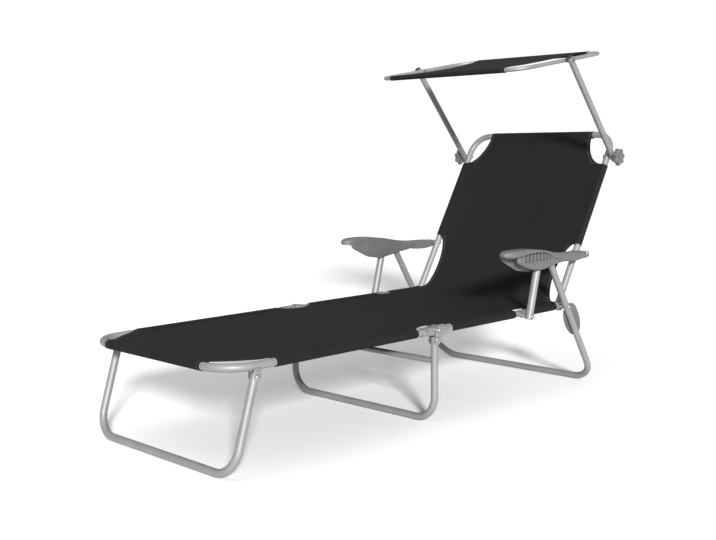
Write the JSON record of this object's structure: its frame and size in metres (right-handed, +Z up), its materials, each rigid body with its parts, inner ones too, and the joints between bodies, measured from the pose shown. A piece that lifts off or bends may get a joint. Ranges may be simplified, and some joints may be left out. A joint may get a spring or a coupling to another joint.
{
  "type": "sun lounger with canopy",
  "caption": "Folding sun lounger with a fabric sling on a bent steel tube frame, U-shaped folding legs, armrests over a reclining back and a small tilting canopy.",
  "frame": {"origin": "on the floor, below the middle of the bounding box", "axes": "+X to the sitter's left, +Y from the feet to the head, +Z up"},
  "size_m": [0.694, 1.606, 1.0378],
  "materials": {
    "painted_steel": "satin silver-grey powder coat",
    "zinc_steel": "zinc plated",
    "sling_fabric": "woven plastic-coated yarn, near black",
    "grey_plastic": "fine texture, mid grey",
    "black_plastic": "smooth, black"
  },
  "bodies": {
    "seat": {"seat_rail_left": "painted_steel", "seat_rail_right": "painted_steel", "seat_sling": "sling_fabric", "foot_hinge_bracket_left": "zinc_steel", "foot_hinge_bracket_right": "zinc_steel", "back_hinge_bracket_left": "zinc_steel", "back_hinge_bracket_right": "zinc_steel", "strut_bracket_left": "zinc_steel", "strut_bracket_right": "zinc_steel", "foot_hinge_pin_left": "zinc_steel", "foot_hinge_pin_right": "zinc_steel", "middle_leg_pin_left": "zinc_steel", "middle_leg_pin_right": "zinc_steel", "rear_hinge_bolt_left": "zinc_steel", "rear_hinge_bolt_right": "zinc_steel"},
    "foot": {"foot_frame": "painted_steel", "foot_hinge_socket_left": "zinc_steel", "foot_hinge_socket_right": "zinc_steel", "foot_sling": "sling_fabric", "front_leg_bracket_left": "zinc_steel", "front_leg_bracket_right": "zinc_steel", "front_leg_pin_left": "zinc_steel", "front_leg_pin_right": "zinc_steel"},
    "back": {"back_frame": "painted_steel", "back_sling": "sling_fabric", "armrest_bolt_left": "zinc_steel", "armrest_bolt_right": "zinc_steel", "clamp_bolt_left": "zinc_steel", "clamp_bolt_right": "zinc_steel"},
    "knob_left": {"star_knob_left": "grey_plastic"},
    "knob_right": {"star_knob_right": "grey_plastic"},
    "canopy_arms": {"canopy_arm_left": "painted_steel", "canopy_arm_right": "painted_steel", "canopy_arm_low_plug_left": "black_plastic", "canopy_arm_low_plug_right": "black_plastic", "canopy_arm_top_plug_left": "black_plastic", "canopy_arm_top_plug_right": "black_plastic"},
    "canopy": {"canopy_frame": "painted_steel", "canopy_fabric": "sling_fabric", "canopy_pin_left": "grey_plastic", "canopy_pin_right": "grey_plastic"},
    "front_leg": {"front_leg": "painted_steel"},
    "middle_leg": {"middle_leg": "painted_steel", "middle_leg_brace": "painted_steel"},
    "rear_leg": {"rear_leg": "painted_steel", "rear_leg_plug_left": "black_plastic", "rear_leg_plug_right": "black_plastic", "leg_guard_left": "grey_plastic", "leg_guard_right": "grey_plastic"},
    "strut_left": {"armrest_strut_left": "painted_steel", "armrest_strut_plug_left": "black_plastic"},
    "armrest_left": {"armrest_left": "grey_plastic"},
    "strut_right": {"armrest_strut_right": "painted_steel", "armrest_strut_plug_right": "black_plastic"},
    "armrest_right": {"armrest_right": "grey_plastic"}
  },
  "joints": [
    {"name": "foot_fold", "type": "hinge", "parent": "seat", "child": "foot", "pos_m": [0, -0.08336, 0.25598], "axis": [-1, 0, 0], "range_deg": [0, 150]},
    {"name": "front_leg_fold", "type": "hinge", "parent": "foot", "child": "front_leg", "pos_m": [0, -0.71086, 0.23098], "axis": [1, 0, 0], "range_deg": [0, 105]},
    {"name": "middle_leg_fold", "type": "hinge", "parent": "seat", "child": "middle_leg", "pos_m": [0, -0.09136, 0.23098], "axis": [1, 0, 0], "range_deg": [0, 88]},
    {"name": "back_recline", "type": "hinge", "parent": "seat", "child": "back", "pos_m": [0, 0.48264, 0.25598], "axis": [1, 0, 0], "range_deg": [-58, 8]},
    {"name": "rear_leg_fold", "type": "hinge", "parent": "seat", "child": "rear_leg", "pos_m": [0, 0.48264, 0.25598], "axis": [1, 0, 0], "range_deg": [0, 56]},
    {"name": "strut_fold_left", "type": "hinge", "parent": "seat", "child": "strut_left", "pos_m": [0, 0.29164, 0.24998], "axis": [1, 0, 0], "range_deg": [0, 105.5]},
    {"name": "strut_fold_right", "type": "hinge", "parent": "seat", "child": "strut_right", "pos_m": [0, 0.29164, 0.24998], "axis": [1, 0, 0], "range_deg": [0, 105.5]},
    {"name": "armrest_tilt_left", "type": "hinge", "parent": "back", "child": "armrest_left", "pos_m": [0, 0.57605, 0.41299], "axis": [1, 0, 0], "range_deg": [-4.5, 31]},
    {"name": "armrest_tilt_right", "type": "hinge", "parent": "back", "child": "armrest_right", "pos_m": [0, 0.57605, 0.41299], "axis": [1, 0, 0], "range_deg": [-4.5, 31]},
    {"name": "canopy_swing", "type": "hinge", "parent": "back", "child": "canopy_arms", "pos_m": [0, 0.74953, 0.70459], "axis": [-1, 0, 0], "range_deg": [-45, 185]},
    {"name": "canopy_tilt", "type": "hinge", "parent": "canopy_arms", "child": "canopy", "pos_m": [0, 0.50375, 0.9944], "axis": [1, 0, 0], "range_deg": [-55, 55]},
    {"name": "knob_turn_left", "type": "hinge", "parent": "back", "child": "knob_left", "pos_m": [0, 0.74953, 0.70459], "axis": [1, 0, 0], "range_deg": [0, 270]},
    {"name": "knob_turn_right", "type": "hinge", "parent": "back", "child": "knob_right", "pos_m": [0, 0.74953, 0.70459], "axis": [1, 0, 0], "range_deg": [0, 270]}
  ],
  "couplings": [
    {"joint": "strut_fold_left", "follows": "rear_leg_fold", "ratio": 1.875},
    {"joint": "strut_fold_right", "follows": "rear_leg_fold", "ratio": 1.875},
    {"joint": "armrest_tilt_left", "follows": "back_recline", "ratio": -0.53},
    {"joint": "armrest_tilt_right", "follows": "back_recline", "ratio": -0.53}
  ]
}
